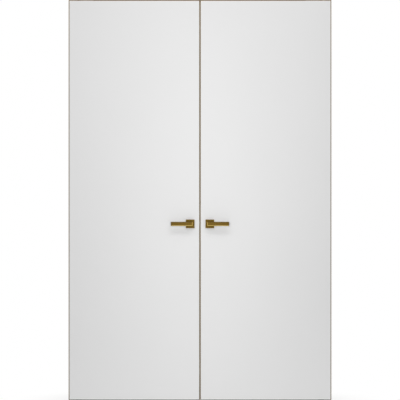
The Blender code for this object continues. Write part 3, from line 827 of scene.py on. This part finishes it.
class DOOR_OT_latch(bpy.types.Operator):
    """Shows the latch, its forend and the strike, with their screws"""

    bl_idname = "door.latch"
    bl_label = "Latch and strike"

    def execute(self, context):
        arris = context.scene.door_shape.metal_arris
        eased("right_latch_forend", edging_gold("Z"), arris)
        eased("left_strike", edging_gold("Z"), arris)
        end_screws("right_latch_forend", -1, handle_bronze("Y"))
        end_screws("left_strike", 1, handle_bronze("Y"))
        eased("right_latch_bolt", brushed_steel("X"), arris * SOFTER)
        coat(plated_steel(), "right_latch_case", "right_latch_follower")
        return {"FINISHED"}


class DOOR_OT_flush_bolts(bpy.types.Operator):
    """Shows the passive leaf's flush bolts and their plates"""

    bl_idname = "door.flush_bolts"
    bl_label = "Flush bolts"

    def execute(self, context):
        arris = context.scene.door_shape.metal_arris
        for end in ("top", "bottom"):
            eased(f"left_{end}_bolt_plate", edging_gold("Z"), arris)
            end_screws(f"left_{end}_bolt_plate", 1, handle_bronze("Y"))
            eased(f"left_{end}_flush_bolt", brushed_steel("Z"), arris * SOFT)
        return {"FINISHED"}


class DOOR_OT_pivots(bpy.types.Operator):
    """Shows the pivots above and below the leaves"""

    bl_idname = "door.pivots"
    bl_label = "Pivots"

    def execute(self, context):
        arris = context.scene.door_shape.metal_arris
        for side in SIDES:
            for part in ("pivot_shoe", "top_pivot", "floor_pin"):
                eased(f"{side}_{part}", plated_steel(), arris * SOFT)
            for part in ("thrust_washer", "top_bush"):
                eased(f"{side}_{part}", nylon(), arris)
        return {"FINISHED"}


class DOOR_OT_head_and_floor(bpy.types.Operator):
    """Shows the head rail, its stop and the floor strip"""

    bl_idname = "door.head_and_floor"
    bl_label = "Head and floor"

    def execute(self, context):
        want = context.scene.door_shape
        eased("head_rail", paint(), want.metal_arris * SOFT)
        eased("head_stop", paint(), want.board_arris)
        low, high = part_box("head_stop")
        middle = (low.y + high.y) / 2
        places = [(low.x + (high.x - low.x) * share, middle, low.z) for share in self.spread(STOP_SCREWS)]
        plate_screws("head_stop_screws", "head_stop", places, (0.0, 0.0, -1.0), plated_steel())
        eased("floor_strip", brushed_steel("X"), want.metal_arris * SOFTER)
        low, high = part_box("floor_strip")
        middle = (low.y + high.y) / 2
        places = [(low.x + (high.x - low.x) * share, middle, high.z) for share in self.spread(FLOOR_SCREWS)]
        plate_screws("floor_strip_screws", "floor_strip", places, (0.0, 0.0, 1.0), plated_steel())
        return {"FINISHED"}

    def spread(self, count):
        """Places along a strip, as shares of its length, with half a space at each end."""
        return [(place + 0.5) / count for place in range(count)]


class DOOR_OT_seals(bpy.types.Operator):
    """Builds the rubber seals at the head and the meeting edge"""

    bl_idname = "door.seals"
    bl_label = "Seals"

    def execute(self, context):
        strip_of_rubber("head_seal", "head_seal_bulb", "x")
        strip_of_rubber("left_meeting_seal", "left_meeting_seal_bulb", "z")
        return {"FINISHED"}


class DOOR_OT_timber(bpy.types.Operator):
    """Gives the frame and core inside the leaves their wood"""

    bl_idname = "door.timber"
    bl_label = "Inner timber"

    def execute(self, context):
        for side in SIDES:
            coat(pine("Z"), f"{side}_meeting_stile", f"{side}_pivot_stile")
            coat(pine("X"), f"{side}_top_rail", f"{side}_bottom_rail")
            coat(chipboard(), f"{side}_core")
        return {"FINISHED"}


class DOOR_OT_stage(bpy.types.Operator):
    """Sets the floor, the light and the camera"""

    bl_idname = "door.stage"
    bl_label = "Stage"

    def execute(self, context):
        want = context.scene.door_stage
        context.scene.view_settings.view_transform = "Standard"
        self.set_world(context.scene, want)
        self.set_floor(context.scene, want)
        self.add_lamp("key_light", want.key_power)
        self.add_lamp("near_light", want.near_power)
        front = self.add_lamp("front_light", want.front_power)
        front.visible_glossy = False
        self.add_lamp("rear_light", want.rear_power)
        self.set_camera(context.scene, want)
        return {"FINISHED"}

    def set_world(self, scene, want):
        """Plain light from all round, which the camera and the metals see as white."""
        scene.world = bpy.data.worlds.new("studio")
        finish = Finish(scene.world)
        level = (want.fill,) * 3
        fill = finish.node("ShaderNodeBackground", values={"Color": level, "Strength": 1.0})
        white = finish.node("ShaderNodeBackground", values={"Color": (1.0, 1.0, 1.0), "Strength": 1.0})
        both = finish.node("ShaderNodeMixShader", values={0: finish.seen(), 1: fill, 2: white})
        finish.feed(finish.tree.nodes["World Output"].inputs["Surface"], both)

    def set_floor(self, scene, want):
        """A pale disc that takes the shadow, fades to white at its rim, and can't be seen from below."""
        bm = bmesh.new()
        sunk = Matrix.Translation((0.0, 0.0, -FLOOR_DROP))
        bmesh.ops.create_circle(
            bm, cap_ends=True, segments=FLOOR_SEGMENTS, radius=want.floor_radius, matrix=sunk
        )
        mesh = bpy.data.meshes.new("floor")
        bm.to_mesh(mesh)
        bm.free()
        floor = bpy.data.objects.new("floor", mesh)
        scene.collection.objects.link(floor)

        finish = Finish(bpy.data.materials.new("pale_floor"))
        place = finish.node("ShaderNodeTexCoord", output="Object")
        far = finish.node("ShaderNodeVectorMath", {"operation": "LENGTH"}, {0: place}, output="Value")
        settings = {"interpolation_type": "SMOOTHSTEP"}
        start, end = (want.floor_radius * share for share in FLOOR_FADE)
        rim = finish.node("ShaderNodeMapRange", settings, {0: far, 1: start, 2: end})
        finish.surface(Base_Color=want.floor_colour, Roughness=0.9)
        ground = finish.tree.nodes["Principled BSDF"].outputs["BSDF"]
        glow = finish.node("ShaderNodeEmission", values={"Color": (1.0, 1.0, 1.0), "Strength": 1.0})
        factor = FLOOR_GLOW + finish.seen() * (VIEW_GLOW + rim * RIM_GLOW)
        upper = finish.node("ShaderNodeMixShader", values={0: factor, 1: Wire(finish, ground), 2: glow})
        below = finish.node("ShaderNodeNewGeometry", output="Backfacing")
        clear = finish.node("ShaderNodeBsdfTransparent")
        both = finish.node("ShaderNodeMixShader", values={0: below, 1: upper, 2: clear})
        finish.feed(finish.tree.nodes["Material Output"].inputs["Surface"], both)
        mesh.materials.append(finish.owner)

    def add_lamp(self, name, power):
        """Adds an oval lamp that faces its target."""
        place, target, size = LAMPS[name]
        lamp = bpy.data.lights.new(name, "AREA")
        lamp.shape = "ELLIPSE"
        lamp.size, lamp.size_y = size
        lamp.energy = power
        made = bpy.data.objects.new(name, lamp)
        made.location = place
        made.rotation_euler = (Vector(target) - Vector(place)).to_track_quat("-Z", "Y").to_euler()
        made.visible_camera = False
        bpy.context.scene.collection.objects.link(made)
        return made

    def set_camera(self, scene, want):
        """A level camera, far enough away that the leaves fill the frame from top to bottom."""
        low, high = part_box("left_front_skin")
        foot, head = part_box("left_meeting_edge")
        made = bpy.data.objects.new("camera", bpy.data.cameras.new("camera"))
        made.data.lens = want.lens
        away = (head.z - foot.z) * want.lens / made.data.sensor_width
        made.location = (0.0, low.y - away, (head.z + foot.z) / 2)
        made.rotation_euler = (math.pi / 2, 0.0, 0.0)
        made.data.clip_end = away * 4
        scene.collection.objects.link(made)
        scene.camera = made


class DOOR_PT_panel(bpy.types.Panel):
    """The door's own tab in the sidebar"""

    bl_idname = "DOOR_PT_panel"
    bl_label = "Flush double door"
    bl_space_type = "VIEW_3D"
    bl_region_type = "UI"
    bl_category = "Door"

    def draw(self, context):
        for step in STEPS:
            self.layout.operator(step.bl_idname)
        for group in SETTINGS:
            box = self.layout.box()
            box.label(text=group)
            held = getattr(context.scene, group)
            for key in held.bl_rna.properties.keys():
                if key not in ("name", "rna_type"):
                    box.prop(held, key)


SETTINGS = {
    "door_paint": DoorPaint,
    "door_metal": DoorMetal,
    "door_inner": DoorInner,
    "door_shape": DoorShape,
    "door_stage": DoorStage,
}
STEPS = (
    DOOR_OT_stage,
    DOOR_OT_skins,
    DOOR_OT_edging,
    DOOR_OT_levers,
    DOOR_OT_roses,
    DOOR_OT_latch,
    DOOR_OT_flush_bolts,
    DOOR_OT_pivots,
    DOOR_OT_head_and_floor,
    DOOR_OT_seals,
    DOOR_OT_timber,
)


def register():
    for kept in (*SETTINGS.values(), *STEPS, DOOR_PT_panel):
        bpy.utils.register_class(kept)
    for name, kind in SETTINGS.items():
        setattr(bpy.types.Scene, name, PointerProperty(type=kind))


def unregister():
    for name in SETTINGS:
        delattr(bpy.types.Scene, name)
    for kept in (DOOR_PT_panel, *reversed(STEPS), *reversed(list(SETTINGS.values()))):
        bpy.utils.unregister_class(kept)


def main():
    register()
    bpy.ops.door.stage()
    bpy.ops.door.skins()
    bpy.ops.door.edging()
    bpy.ops.door.levers()
    bpy.ops.door.roses()
    bpy.ops.door.latch()
    bpy.ops.door.flush_bolts()
    bpy.ops.door.pivots()
    bpy.ops.door.head_and_floor()
    bpy.ops.door.seals()
    bpy.ops.door.timber()


if __name__ == "__main__":
    main()
